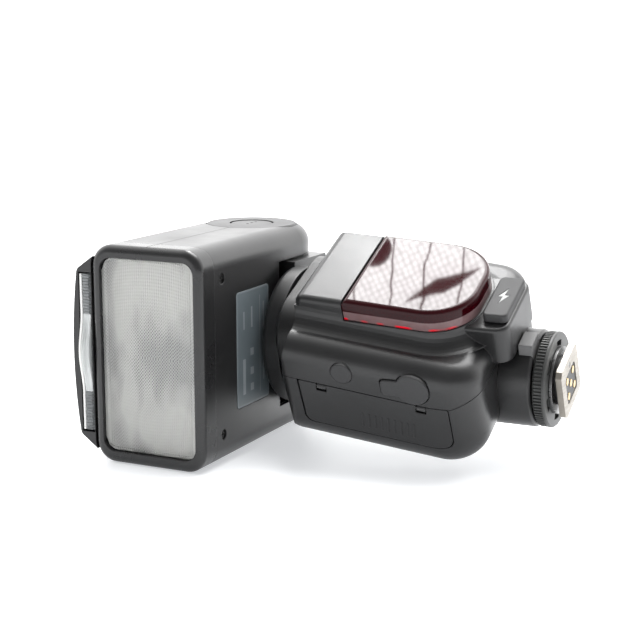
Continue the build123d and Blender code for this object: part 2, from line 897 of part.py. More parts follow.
for key, w in round_keys.items():
    with BuildPart() as round_key:
        with BuildSketch(rear_plane.offset(-2.6)):
            with Locations((dial_u, w)):
                Circle(3.4)
        extrude(amount=3.4)
        fillet(round_key.faces().sort_by(Axis.Z)[0].edges(), 0.5)
    keep("body", key, round_key)

with BuildPart() as set_button:
    with BuildSketch(rear_plane.offset(-2.6)):
        with Locations((dial_u, 0)):
            Circle(4.4)
    extrude(amount=3.4)
    fillet(set_button.faces().sort_by(Axis.Z)[0].edges(), 0.5)
keep("body", "set_button", set_button)

with BuildPart() as control_dial:
    with BuildSketch(rear_plane.offset(-0.9)):
        with Locations((dial_u, 0)):
            Circle(dial_r)
            Circle(4.4 + gap, mode=Mode.SUBTRACT)
    extrude(amount=1.9)
    with BuildSketch(rear_plane.offset(0.6)):
        with Locations((dial_u, 0)):
            with PolarLocations(6.9, 16):
                Circle(0.7)
    extrude(amount=1, mode=Mode.SUBTRACT)
keep("body", "control_dial", control_dial)

with BuildPart() as lcd_window:
    with BuildSketch(rear_plane.offset(-1.0)):
        with Locations(lcd_spot):
            RectangleRounded(21.0, 38.0, 2.0)
    extrude(amount=1.0)
keep("body", "lcd_window", lcd_window)

with BuildPart() as body_screws:
    with BuildSketch(rear_plane.offset(-1.2)):
        with Locations(*rear_screws):
            Circle(1.6)
    extrude(amount=0.8)
    with BuildSketch(rear_plane.offset(-7)):
        with Locations(*rear_screws):
            Circle(0.8)
    extrude(amount=6)
    with BuildSketch(rear_plane.offset(-0.7)):
        with Locations(*rear_screws):
            Rectangle(2.0, 0.4)
            Rectangle(0.4, 2.0)
    extrude(amount=2, mode=Mode.SUBTRACT)
keep("body", "body_screws", body_screws)

# door, its pin and the two lugs it turns between
seam_angle = 7.69
hinge_v = -32.2
hinge_drop = 1.6
hinge_x = 66.0
hinge_frame = Plane(
    origin=(hinge_x, hinge_v, seam_at(hinge_x) - hinge_drop),
    x_dir=(cos(radians(seam_angle)), 0, -sin(radians(seam_angle))),
    z_dir=(0, -1, 0),
)
lug_spots = (-17.0, 17.0)
lug_w = 3.0
pin_r = 0.5
with BuildPart() as battery_door:
    add(body_outer.part)
    add(body_inner.part, mode=Mode.SUBTRACT)
    add(door_prism(0, door_v), mode=Mode.INTERSECT)
    with Locations(hinge_frame):
        for u in lug_spots:
            with Locations((u, 1.0, 0)):
                Box(lug_w + 0.6, 4.8, 8, mode=Mode.SUBTRACT)
        Cylinder(pin_r + 0.05, 60, rotation=(0, 90, 0), mode=Mode.SUBTRACT)
        # grip ribs
        for i in range(9):
            with Locations((-3 + 2.2 * i, -9.6, 1.0)):
                Box(0.5, 5.5, 0.3)
keep("body", "battery_door", battery_door)

with BuildPart() as door_hinge:
    with Locations(hinge_frame):
        for u in lug_spots:
            with Locations((u, 0, 0)):
                Cylinder(1.0, lug_w, rotation=(0, 90, 0))
            with Locations((u, 0, -1.5)):
                Box(lug_w, 1.6, 3.0)
        # rail that holds the lugs against the inside of the front housing
        with Locations((0, 1.55, -2.6)):
            Box(2 * lug_spots[1] + 6, 4.7, 1.0)
        with Locations((0, 2.9, -2.0)):
            Box(2 * lug_spots[1] + 6, 2.0, 2.0)
        Cylinder(pin_r, 60, rotation=(0, 90, 0), mode=Mode.SUBTRACT)
keep("body", "door_hinge", door_hinge)

with BuildPart() as door_pin:
    with Locations(hinge_frame):
        Cylinder(pin_r, 2 * lug_spots[1] + 9, rotation=(0, 90, 0))
keep("body", "door_pin", door_pin)

# ---- inside the body
mid_plane = section_plane(70.5)
inside = Plane(origin=mid_plane.origin, x_dir=mid_plane.z_dir, z_dir=(sin(slope), 0, cos(slope)))
cell_r = 7.1
cell_pitch = 14.3
cell_h = -2.0
cell_len = 49.2
cell_us = [(i - 1.5) * cell_pitch for i in range(4)]

with BuildPart() as batteries:
    with Locations(inside):
        for i, u in enumerate(cell_us):
            with Locations((u, 0, cell_h)):
                Cylinder(cell_r, cell_len, rotation=(90, 0, 0))
            with Locations((u, (cell_len / 2 + 0.5) * (1 if i % 2 else -1), cell_h)):
                Cylinder(2.7, 1.0, rotation=(90, 0, 0))
keep("body", "batteries", batteries)

with BuildPart() as battery_cradle:
    with Locations(inside):
        with Locations((0, 0, -6.95)):
            Box(56.4, 52.8, 5.9)
        with Locations((0, 26.05, -2.0)):
            Box(50, 0.7, 14.2)
        for u in cell_us:
            with Locations((u, -1.5, cell_h)):
                Cylinder(cell_r + 0.05, 54.4, rotation=(90, 0, 0), mode=Mode.SUBTRACT)
keep("body", "battery_cradle", battery_cradle)

with BuildPart() as main_board:
    with Locations(inside):
        with Locations((-0.5, 0, -11.8)):
            Box(54, 52, 1.4)
        # display, chips and the regulator coil that stand on the board
        with Locations((-16, 0, -14.9)):
            Box(20, 36, 2.2)
        with Locations((-16, 0, -13.2)):
            Box(18, 30, 1.6)
        with Locations((23, 17, -13.5)):
            Box(5, 5, 2.2)
keep("body", "main_board", main_board)

with BuildPart() as capacitor:
    with Locations((49.5, 0, 14.2)):
        Cylinder(7.4, 35, rotation=(90, 0, 0))
    chamfer(capacitor.edges().filter_by(GeomType.CIRCLE), 0.6)
keep("body", "capacitor", capacitor)

# ---- front of the body
window_room = window_half - window_wall
window_low = 9.0  # below the ledge
with BuildPart() as red_window:
    add(
        d_prism(
            window_start,
            window_end,
            window_half,
            window_r,
            window_low + 1,
            ledge_at(window_start - 1) + window_h,
            ledge_at(window_end + 1) + window_h,
        )
    )
    fillet(red_window.faces().sort_by(Axis.Z)[-1].edges(), window_wall)
    add(
        d_prism(
            window_start + window_wall,
            window_end - window_wall,
            window_room,
            window_r - window_wall,
            window_low,
            ledge_at(window_start + window_wall - 1) + window_h - window_wall,
            ledge_at(window_end - window_wall + 1) + window_h - window_wall,
        ),
        mode=Mode.SUBTRACT,
    )
    # nothing is left below the ledge
    add(
        d_prism(
            window_start - 2,
            window_end + 2,
            body_half,
            1,
            window_low - 4,
            ledge_at(window_start - 3),
            ledge_at(window_end + 3),
        ),
        mode=Mode.SUBTRACT,
    )
keep("body", "red_window", red_window)

with BuildPart() as af_lamps:
    for v in (-9, 9):
        with Locations((68, v, ledge_at(64) + 1.6)):
            Cylinder(3.4, 3.0)
        with Locations((68, v, ledge_at(64) + 3.1)):
            Cylinder(2.4, 2.4)
keep("body", "af_lamps", af_lamps)

with BuildPart() as side_cap:
    with Locations((cap_spot[0], near_v + 0.3, cap_spot[1])):
        Cylinder(cap_r, 1.2, rotation=(90, 0, 0))
    fillet(side_cap.faces().sort_by(Axis.Y)[0].edges(), 0.4)
keep("body", "side_cap", side_cap)

with BuildPart() as sync_cover:
    extrude(sync_outline(0), amount=0.6)
    extrude(sync_outline(0), amount=-0.6)
    fillet(sync_cover.faces().sort_by(Axis.Y)[0].edges(), 0.4)
keep("body", "sync_cover", sync_cover)

with BuildPart() as sync_socket:
    with Locations((sync_spot[0], near_v + 4.8, sync_spot[1])):
        Cylinder(3.5, 7.6, rotation=(90, 0, 0))
        Cylinder(1.6, 9, rotation=(90, 0, 0), mode=Mode.SUBTRACT)
keep("body", "sync_socket", sync_socket)

with BuildPart() as power_cover:
    with BuildSketch(Plane.XY.offset(lower_top + gap)):
        with Locations((socket_x, 0)):
            RectangleRounded(8.2, 21.2, 1.8)
    extrude(amount=2.8)
    fillet(power_cover.faces().sort_by(Axis.Z)[-1].edges(), 0.7)
    # engraved lightning mark
    with BuildSketch(Plane.XY.offset(lower_top + gap + 2.5)):
        with BuildLine():
            Polyline(
                (socket_x + 0.6, 4.2),
                (socket_x - 1.9, -0.4),
                (socket_x - 0.2, -0.4),
                (socket_x - 0.6, -4.2),
                (socket_x + 1.9, 0.4),
                (socket_x + 0.2, 0.4),
                close=True,
            )
        make_face()
    extrude(amount=1, mode=Mode.SUBTRACT)
keep("body", "power_cover", power_cover)

with BuildPart() as power_socket:
    with Locations((socket_x, 0, lower_top - 3.2)):
        Box(4.2, 12.2, 6)
    with Locations((socket_x, -3.6, lower_top), (socket_x, 0, lower_top), (socket_x, 3.6, lower_top)):
        Cylinder(0.9, 8, mode=Mode.SUBTRACT)
keep("body", "power_socket", power_socket)

# ---- collar under the turntable
with BuildPart() as body_collar:
    with BuildSketch(Plane.YZ.offset(turn_bottom + gap)):
        with Locations((0, collar_f)):
            RectangleRounded(47, 44, 13)
    extrude(amount=6.9)
    chamfer(body_collar.faces().sort_by(Axis.X)[0].edges(), 1.0)
    with BuildSketch(Plane.YZ.offset(36.5)):
        with Locations((0, collar_f)):
            RectangleRounded(40, 37, 11)
    extrude(amount=2)
    with BuildSketch(Plane.YZ.offset(25)):
        Circle(hub_r + 0.06)
    extrude(amount=20, mode=Mode.SUBTRACT)
    with BuildSketch(Plane.YZ.offset(36.5)):
        Circle(13.4)
    extrude(amount=4, mode=Mode.SUBTRACT)
keep("body", "body_collar", body_collar)

# ---- hot-shoe foot
with BuildPart() as foot_neck:
    with BuildSketch(Plane.YZ.offset(94)):
        with Locations((0, foot_f)):
            RectangleRounded(30, 31, 13.5)
    extrude(amount=18.2)
    chamfer(foot_neck.faces().sort_by(Axis.X)[-1].edges(), 0.8)
    add(core, mode=Mode.SUBTRACT)
    with Locations((105, 0, foot_f)):
        Cylinder(6.0, 30, rotation=(0, 90, 0), mode=Mode.SUBTRACT)
    with Locations((110, -3, 6)):
        Box(4.6, 8.2, 6.2, mode=Mode.SUBTRACT)
keep("body", "foot_neck", foot_neck)

with BuildPart() as lock_index:
    with Locations((109.9, -3, 6.2)):
        Box(4.4, 8.0, 6.0)
    fillet(lock_index.edges().filter_by(Axis.X), 0.6)
keep("body", "lock_index", lock_index)

post_r = 8.0
pin_spot = (0, foot_f + 6.6)
with BuildPart() as shoe_base:
    with BuildSketch(Plane.YZ.offset(112.2)):
        with Locations((0, foot_f)):
            Circle(post_r)
    extrude(amount=plate_start - 112.2)
    for side in (-1, 1):
        with Locations(((117.2 + plate_start) / 2, side * 8.1, foot_f)):
            Box(plate_start - 117.2, 4, 20, mode=Mode.SUBTRACT)
    with Locations((115.8, pin_spot[0], pin_spot[1])):
        Cylinder(1.0, 10, rotation=(0, 90, 0), mode=Mode.SUBTRACT)
keep("body", "shoe_base", shoe_base)

with BuildPart() as shoe_plate:
    with BuildSketch(Plane.YZ.offset(plate_start)):
        with Locations((0, foot_f)):
            Rectangle(plate_side, plate_side)
        chamfer(vertices(), 1.6)
    extrude(amount=plate_end - plate_start)
    with BuildSketch(Plane.YZ.offset(plate_start + 0.6)):
        with Locations((0, foot_f - 0.8)):
            RectangleRounded(11, 11, 2)
    extrude(amount=4, mode=Mode.SUBTRACT)
    with Locations((plate_end, pin_spot[0], pin_spot[1])):
        Cylinder(1.0, 10, rotation=(0, 90, 0), mode=Mode.SUBTRACT)
keep("body", "shoe_plate", shoe_plate)

contact_spots = [(0, -0.8), (3.3, 2.2), (-3.3, 2.2), (3.3, -3.8), (-3.3, -3.8)]
with BuildPart() as shoe_insulator:
    with BuildSketch(Plane.YZ.offset(plate_start + 0.6)):
        with Locations((0, foot_f - 0.8)):
            RectangleRounded(10.8, 10.8, 1.9)
        with Locations(*[(v, foot_f + f) for v, f in contact_spots]):
            Circle(1.35, mode=Mode.SUBTRACT)
    extrude(amount=1.1)
keep("body", "shoe_insulator", shoe_insulator)

with BuildPart() as shoe_contacts:
    with BuildSketch(Plane.YZ.offset(plate_start + 0.6)):
        with Locations(*[(v, foot_f + f) for v, f in contact_spots]):
            Circle(1.25)
    extrude(amount=1.3)
keep("body", "shoe_contacts", shoe_contacts)

with BuildPart() as lock_pin:
    with BuildSketch(Plane.YZ.offset(113)):
        with Locations(pin_spot):
            Circle(0.93)
    extrude(amount=8.3)
keep("body", "lock_pin", lock_pin)

with BuildPart() as lock_ring:
    with BuildSketch(Plane.YZ.offset(ring_start)):
        with Locations((0, foot_f)):
            Circle(ring_r)
            Circle(post_r + 0.07, mode=Mode.SUBTRACT)
    extrude(amount=ring_end - ring_start)
    chamfer(lock_ring.faces().sort_by(Axis.X)[0].edges().sort_by(SortBy.RADIUS)[-1], 0.9)
    with BuildSketch(Plane.YZ.offset(ring_start - 1)):
        with Locations((0, foot_f)):
            with PolarLocations(ring_r, 64):
                Rectangle(1.0, 0.7)
    extrude(amount=4.4, mode=Mode.SUBTRACT)
    with BuildSketch(Plane.YZ.offset(ring_end - 1.2)):
        with Locations((0, foot_f)):
            with PolarLocations(12.6, 6):
                Rectangle(1.8, 5.0)
    extrude(amount=2, mode=Mode.SUBTRACT)
keep("body", "lock_ring", lock_ring)

with BuildPart() as pressure_washer:
    with BuildSketch(Plane.YZ.offset(ring_end + 0.2)):
        with Locations((0, foot_f)):
            Circle(11.0)
            Circle(post_r + 0.1, mode=Mode.SUBTRACT)
    extrude(amount=0.9)
keep("body", "pressure_washer", pressure_washer)

# ================================================================ stored pose
# The origin is the middle of the footprint, on the surface that the flash lies on.
turn = {"head": Location((0, 0, 0)), "body": Location((0, 0, 0), (body_roll, 0, 0))}
laid = [p.part.moved(turn[group]) for group, pieces in finished.items() for p in pieces.values()]
box = Compound(children=laid).bounding_box()
origin = Vector((box.min.X + box.max.X) / 2, (box.min.Y + box.max.Y) / 2, box.min.Z)
shift = Location(-origin)
for group, pieces in finished.items():
    for name, piece in pieces.items():
        piece.part = piece.part.moved(shift * turn[group])
        piece.part.label = name
        export_step(piece.part, f"parts/{name}.step")

print("origin", *[round(c, 4) for c in origin])
print("size", *[round(c, 3) for c in box.size])
print("nodes", sum(len(pieces) for pieces in finished.values()))
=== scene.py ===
"""Speedlight flash lying on its side on a white studio table.

Two working frames, in millimetres, meet on the swivel axis level with the tilt axis, as in the CAD:
head_at(x, y, z) and body_at(x, v, f). The body's v and f are rolled about X from Y and Z.
"""
from math import cos, pi, radians, sin, sqrt

import bmesh
import bpy
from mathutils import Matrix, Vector
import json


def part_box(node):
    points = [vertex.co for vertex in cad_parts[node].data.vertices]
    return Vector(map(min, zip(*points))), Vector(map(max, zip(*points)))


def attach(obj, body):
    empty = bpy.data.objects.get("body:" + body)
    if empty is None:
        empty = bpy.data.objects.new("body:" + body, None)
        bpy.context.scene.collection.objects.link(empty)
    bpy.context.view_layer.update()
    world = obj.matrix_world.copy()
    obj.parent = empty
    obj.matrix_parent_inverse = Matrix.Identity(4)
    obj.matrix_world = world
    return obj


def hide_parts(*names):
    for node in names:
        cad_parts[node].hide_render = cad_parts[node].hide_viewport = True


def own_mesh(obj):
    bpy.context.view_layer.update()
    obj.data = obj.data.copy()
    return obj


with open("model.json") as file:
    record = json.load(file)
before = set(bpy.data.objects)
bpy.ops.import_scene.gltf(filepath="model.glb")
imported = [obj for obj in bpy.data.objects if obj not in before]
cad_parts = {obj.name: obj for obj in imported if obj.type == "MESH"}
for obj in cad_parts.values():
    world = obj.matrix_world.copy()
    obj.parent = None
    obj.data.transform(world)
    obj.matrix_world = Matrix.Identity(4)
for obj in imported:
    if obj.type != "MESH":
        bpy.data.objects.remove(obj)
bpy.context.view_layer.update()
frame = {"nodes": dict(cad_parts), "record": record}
nodes = frame["nodes"]

# ---------------------------------------------------------------- working frames
MM = 0.001
ROLL = radians(26.0)
SLOPE = radians(7.2)


def middle(node):
    low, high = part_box(node)
    return (low + high) / 2


swivel_axis = middle("swivel_retainer")
tilt_axis = middle("tilt_shaft")
ORIGIN = Vector((tilt_axis.x, swivel_axis.y, swivel_axis.z))


def head_at(x, y, z):
    """Head frame in mm to the row frame in m."""
    return ORIGIN + Vector((x, y, z)) * MM


def body_at(x, v, f):
    """Body frame in mm to the row frame in m."""
    return ORIGIN + Vector((x, v * cos(ROLL) - f * sin(ROLL), v * sin(ROLL) + f * cos(ROLL))) * MM


# ---------------------------------------------------------------- shader building
class Shader:
    """A Principled material whose inputs are set or fed through short named steps."""

    def __init__(self, name, **values):
        self.material = bpy.data.materials.new(name)
        self.material.use_nodes = True
        self.tree = self.material.node_tree
        self.surface = self.tree.nodes["Principled BSDF"]
        for key, value in values.items():
            self.surface.inputs[key.replace("_", " ")].default_value = value
        self.place = self.node("ShaderNodeTexCoord").outputs["Object"]

    def node(self, kind, **settings):
        made = self.tree.nodes.new(kind)
        for key, value in settings.items():
            setattr(made, key, value)
        return made

    def link(self, source, target):
        self.tree.links.new(source, target)

    def feed(self, key, source):
        self.link(source, self.surface.inputs[key])

    def noise(self, scale, detail=2.0, stretch=(1, 1, 1)):
        """Noise with features of about 1/scale metres."""
        mapping = self.node("ShaderNodeMapping")
        mapping.inputs["Scale"].default_value = stretch
        self.link(self.place, mapping.inputs["Vector"])
        made = self.node("ShaderNodeTexNoise")
        made.inputs["Scale"].default_value = scale
        made.inputs["Detail"].default_value = detail
        self.link(mapping.outputs["Vector"], made.inputs["Vector"])
        return made.outputs["Fac"]

    def math(self, operation, first, second=None, clamp=False):
        made = self.node("ShaderNodeMath", operation=operation, use_clamp=clamp)
        for slot, value in zip(made.inputs, (first, second)):
            if value is None:
                continue
            if isinstance(value, (int, float)):
                slot.default_value = value
            else:
                self.link(value, slot)
        return made.outputs["Value"]

    def span(self, source, low, high, new_low, new_high):
        """Maps low..high to new_low..new_high, held at both ends."""
        made = self.node("ShaderNodeMapRange")
        for key, value in zip(("From Min", "From Max", "To Min", "To Max"), (low, high, new_low, new_high)):
            made.inputs[key].default_value = value
        self.link(source, made.inputs["Value"])
        return made.outputs["Result"]

    def blend(self, factor, first, second):
        """Colour between two colours, each a tuple or an output."""
        made = self.node("ShaderNodeMix", data_type="RGBA")
        self.link(factor, made.inputs["Factor"])
        for key, value in (("A", first), ("B", second)):
            slot = [s for s in made.inputs if s.name == key and s.type == "RGBA"][0]
            if isinstance(value, tuple):
                slot.default_value = (*value, 1.0)
            else:
                self.link(value, slot)
        return [s for s in made.outputs if s.type == "RGBA"][0]

    def rounded(self, radius):
        """Normal that rounds every edge off by radius in metres."""
        made = self.node("ShaderNodeBevel", samples=4)
        made.inputs["Radius"].default_value = radius
        return made.outputs["Normal"]

    def bump(self, height, depth, strength=1.0, normal=None):
        made = self.node("ShaderNodeBump")
        made.inputs["Strength"].default_value = strength
        made.inputs["Distance"].default_value = depth
        self.link(height, made.inputs["Height"])
        if normal is not None:
            self.link(normal, made.inputs["Normal"])
        return made.outputs["Normal"]

    def edge_mask(self, rounded_normal):
        """1 on edges, where scuffing and a painted highlight lighten the colour, 0 on open faces."""
        facing = self.node("ShaderNodeVectorMath", operation="DOT_PRODUCT")
        self.link(rounded_normal, facing.inputs[0])
        self.link(self.node("ShaderNodeNewGeometry").outputs["True Normal"], facing.inputs[1])
        return self.span(facing.outputs["Value"], 0.90, 0.70, 0.0, 1.0)

    def axis(self, direction, origin=(0, 0, 0)):
        """Distance along a direction from a point of the row frame, in metres."""
        moved = self.node("ShaderNodeVectorMath", operation="SUBTRACT")
        self.link(self.place, moved.inputs[0])
        moved.inputs[1].default_value = origin
        dot = self.node("ShaderNodeVectorMath", operation="DOT_PRODUCT")
        self.link(moved.outputs["Vector"], dot.inputs[0])
        dot.inputs[1].default_value = direction
        return dot.outputs["Value"]


def moulded(name, colour, rough, grain=0.5, edge=0.0004, lift=1.25, edge_lightening=0.4, **values):
    """Injection-moulded plastic: spark-eroded grain, uneven gloss, edges lighter and less rough, partly
    scuffing and partly a painted highlight.

    edge is the radius in metres that edges seem to have, lift the lightest colour's share of the darkest, and
    edge_lightening how far the lightest edges go towards a lighter colour, partly scuffing and partly a
    painted highlight.
    """
    shader = Shader(name, **values)
    soft = shader.noise(60, 3)
    fine = shader.noise(2600, 2)
    rounded = shader.rounded(edge)
    # edges turn lighter in colour and less rough: the lighter colour is partly scuffing and partly a painted
    # highlight
    lightening_amount = shader.span(shader.noise(30, 1), 0.35, 0.65, 0.1, edge_lightening)
    scuff_and_highlight = shader.math("MULTIPLY", shader.edge_mask(rounded), lightening_amount)
    brighter = tuple(min(1.0, c * lift + 0.004) for c in colour)
    base = shader.blend(soft, colour, brighter)
    scuffed_highlight_colour = tuple(min(1.0, c * 1.3 + 0.006) for c in colour)
    shader.feed("Base Color", shader.blend(scuff_and_highlight, base, scuffed_highlight_colour))
    uneven = shader.span(soft, 0.3, 0.7, rough - 0.03, rough + 0.05)
    shader.feed("Roughness", shader.math("SUBTRACT", uneven, shader.math("MULTIPLY", scuff_and_highlight, 0.08)))
    shader.feed("Normal", shader.bump(fine, 0.00004, grain, rounded))
    return shader.material


def metal(name, colour, rough, grain_along=(1, 1, 1), edge=0.0002):
    """Metal with a drawn or brushed grain and slightly uneven tarnish."""
    shader = Shader(name, Metallic=1.0)
    rounded = shader.rounded(edge)
    brushed = shader.noise(1800, 3, grain_along)
    tarnish = shader.noise(140, 4)
    darker = tuple(c * 0.78 for c in colour)
    shader.feed("Base Color", shader.blend(shader.span(tarnish, 0.35, 0.65, 0, 1), darker, colour))
    shader.feed("Roughness", shader.span(brushed, 0.3, 0.7, rough - 0.06, rough + 0.1))
    shader.feed("Normal", shader.bump(brushed, 0.00003, 0.5, rounded))
    return shader.material


# ---------------------------------------------------------------- materials
def lens_material():
    """Ribbed acrylic, milky, with painted shade: dotted dark areas that stand in for the reflector's dark
    middle seen through it.
    """
    row_pitch, rib_pitch = 0.0011, 0.0010
    bow = 9.0  # how strongly the rows bend towards the sides
    centre_in, centre_out = 0.006, 0.022  # radii between which the painted dark middle fades out
    shader = Shader("ribbed_acrylic", IOR=1.49, Transmission_Weight=0.45, Roughness=0.2, Coat_Weight=0.3)
    centre = middle("fresnel_lens")
    across = shader.axis((1, 0, 0), tuple(centre))
    up = shader.axis((0, 0, 1), tuple(centre))
    sag = shader.math("MULTIPLY", shader.math("MULTIPLY", across, across), bow)
    bowed = shader.math("ADD", shader.math("ABSOLUTE", up), sag)
    rows = shader.math("SINE", shader.math("MULTIPLY", bowed, 2 * pi / row_pitch))
    ribs = shader.math("SINE", shader.math("MULTIPLY", across, 2 * pi / rib_pitch))
    dots = shader.span(shader.math("MULTIPLY", rows, ribs), -0.2, 0.6, 0.0, 1.0)
    wide = shader.math("MULTIPLY", across, 1.7)
    squares = [shader.math("MULTIPLY", length, length) for length in (wide, up)]
    oval = shader.math("SQRT", shader.math("ADD", *squares))
    # painted shade: the dots go dark in an oval round the lens middle and in noisy areas, and the milky
    # colour darkens with them, standing in for the reflector's dark middle seen through the lens
    painted_dark_middle = shader.span(oval, centre_in, centre_out, 1.0, 0.0)
    shade_cloud = shader.span(shader.noise(70, 1.5, (1.5, 1, 0.6)), 0.44, 0.64, 0.0, 1.0)
    painted_shade_clouds = shader.math("MULTIPLY", shade_cloud, 0.7)
    painted_shade_patches = shader.math("MULTIPLY", shader.math("ADD", painted_dark_middle, painted_shade_clouds, clamp=True), 0.75)
    milky = shader.blend(shade_cloud, (0.70, 0.70, 0.67), (0.52, 0.525, 0.51))
    shader.feed("Base Color", shader.blend(shader.math("MULTIPLY", dots, painted_shade_patches), milky, (0.16, 0.163, 0.158)))
    shader.feed("Normal", shader.bump(rows, 0.00005, 0.4))
    return shader.material


def panel_material():
    """Diffuser sheet: frosted prisms in clear plastic."""
    shader = Shader("frosted_prisms", IOR=1.49, Transmission_Weight=0.6, Roughness=0.3)
    ribs = shader.math("SINE", shader.math("MULTIPLY", shader.axis((0, 0, 1)), 2 * pi / 0.001))
    shader.feed("Base Color", shader.blend(shader.noise(90, 3), (0.34, 0.36, 0.37), (0.46, 0.48, 0.49)))
    shader.feed("Normal", shader.bump(ribs, 0.0002, 0.7, shader.rounded(0.0003)))
    return shader.material


def tab_material():
    """Polished clear plastic of the pull tab."""
    shader = Shader("clear_tab", IOR=1.49, Transmission_Weight=0.35, Roughness=0.05, Coat_Weight=1.0)
    shader.feed("Base Color", shader.blend(shader.noise(120, 2), (0.66, 0.69, 0.69), (0.84, 0.86, 0.85)))
    shader.feed("Normal", shader.bump(shader.noise(60, 1), 0.0004, 0.2, shader.rounded(0.0004)))
    return shader.material


def red_material():
    """Deep red infrared window with a mirror finish, over a paler clear band near its foot, with a painted
    red glow along the foot.
    """
    painted_glow_top, clear_top, blur = 0.0007, 0.0030, 0.0002  # heights in metres
    draft = radians(4.16)
    shader = Shader("infrared_red", Roughness=0.03, IOR=1.4, Specular_IOR_Level=0.3)
    foot_plane = body_at(55.4, 0, 23.3)
    up = body_at(sin(draft), 0, cos(draft)) - body_at(0, 0, 0)
    height = shader.axis(tuple(up.normalized()), tuple(foot_plane))
    deep = shader.blend(shader.noise(40, 2), (0.012, 0.0002, 0.001), (0.032, 0.0004, 0.0025))
    clear = shader.blend(shader.noise(300, 2), (0.14, 0.085, 0.088), (0.20, 0.13, 0.132))
    # painted glow: a bright red dashed strip along the window's foot stands in for light carried through the
    # red plastic
    dash = shader.span(shader.noise(110, 1, (1, 0.2, 0.2)), 0.43, 0.49, 0, 1)
    glow = shader.blend(dash, clear, (0.80, 0.012, 0.03))
    lower = shader.blend(shader.span(height, painted_glow_top, painted_glow_top + blur, 0, 1), glow, clear)
    is_deep = shader.span(height, clear_top, clear_top + 1.5 * blur, 0, 1)
    shader.feed("Base Color", shader.blend(is_deep, lower, deep))
    shader.feed("Normal", shader.bump(shader.noise(24, 1), 0.0006, 0.10, shader.rounded(0.0006)))
    return shader.material


def board_material():
    """Circuit board: green solder mask with copper tracks."""
    shader = Shader("circuit_board", Roughness=0.35)
    tracks = shader.node("ShaderNodeTexBrick")
    tracks.inputs["Scale"].default_value = 260
    shader.link(shader.place, tracks.inputs["Vector"])
    shader.feed("Base Color", shader.blend(tracks.outputs["Fac"], (0.01, 0.12, 0.05), (0.05, 0.25, 0.09)))
    shader.feed("Normal", shader.bump(tracks.outputs["Fac"], 0.00005, 0.6))
    return shader.material


def cell_material():
    """Printed jacket of a battery cell, with a lighter band at one end."""
    shader = Shader("cell_jacket", Roughness=0.3, Metallic=0.4)
    across = (body_at(0, 1, 0) - body_at(0, 0, 0)).normalized()
    along = shader.axis(tuple(across), tuple(body_at(0, 15, 0)))
    band = shader.span(along, 0.0, 0.0002, 0.0, 1.0)
    shader.feed("Base Color", shader.blend(band, (0.03, 0.035, 0.05), (0.55, 0.42, 0.2)))
    shader.feed("Normal", shader.bump(shader.noise(900, 2), 0.00002, 0.4, shader.rounded(0.0004)))
    return shader.material


def print_material():
    """Screen-printed label: blue-grey face with a faint border, a rule and plain bars, no lettering."""
    shader = Shader("label_print", Roughness=0.42)
    low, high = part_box("rating_plate")
    centre = tuple((low + high) / 2)
    reach_y = (high.y - low.y) / 2
    reach_z = (high.z - low.z) / 2
    along = shader.axis((0, 1, 0), centre)
    up = shader.axis((0, 0, 1), centre)
    border_width = 0.0006
    off_y = shader.math("SUBTRACT", shader.math("ABSOLUTE", along), reach_y - border_width)
    off_z = shader.math("SUBTRACT", shader.math("ABSOLUTE", up), reach_z - border_width)
    border = shader.span(shader.math("MAXIMUM", off_y, off_z), -0.0001, 0.0001, 0, 0.35)

    def line(place, half, start, end):
        """1 within half of place across the label, between start and end along it."""

        def within(source, centre, reach):
            away = shader.math("ABSOLUTE", shader.math("SUBTRACT", source, centre))
            return shader.math("LESS_THAN", away, reach)

        length = within(up, (start + end) / 2, (end - start) / 2)
        return shader.math("MULTIPLY", within(along, place, half), length)

    marks = border
    for place, half, start, end in (
        (0.0048, 0.00016, -0.0165, 0.0165),
        (-0.0062, 0.0009, -0.0155, -0.0035),
        (-0.0062, 0.0004, 0.0065, 0.0125),
        (-0.0008, 0.0011, -0.0150, -0.0125),
        (-0.0008, 0.0011, -0.0095, -0.0070),
        (-0.0008, 0.0011, -0.0030, -0.0005),
        (-0.0008, 0.0005, 0.0065, 0.0135),
        (0.0074, 0.0003, -0.0130, -0.0030),
        (0.0074, 0.0003, 0.0010, 0.0140),
    ):
        marks = shader.math("MAXIMUM", marks, line(place, half, start, end))
    face = shader.blend(shader.noise(300, 3), (0.100, 0.122, 0.134), (0.120, 0.143, 0.155))
    shader.feed("Base Color", shader.blend(marks, face, (0.235, 0.262, 0.278)))
    shader.feed("Normal", shader.bump(shader.noise(3000, 2), 0.00002, 0.5, shader.rounded(0.0002)))
    return shader.material


def screen_material():
    """Display window: dark glossy frame round a pale green liquid crystal."""
    half_long, half_wide = 0.0082, 0.0162
    shader = Shader("display_window", Roughness=0.08, Coat_Weight=0.6)
    centre = body_at(54.1, 0, -19.2)
    along = shader.math("ABSOLUTE", shader.axis((cos(SLOPE), 0, 0), tuple(centre)))
    across = shader.math("ABSOLUTE", shader.axis((0, cos(ROLL), sin(ROLL)), tuple(centre)))
    in_length = shader.math("LESS_THAN", along, half_long)
    in_width = shader.math("LESS_THAN", across, half_wide)
    inside = shader.math("MULTIPLY", in_length, in_width)
    crystal = shader.blend(shader.noise(500, 2), (0.20, 0.25, 0.18), (0.24, 0.29, 0.21))
    shader.feed("Base Color", shader.blend(inside, (0.01, 0.01, 0.012), crystal))
    shader.feed("Normal", shader.rounded(0.0003))
    return shader.material


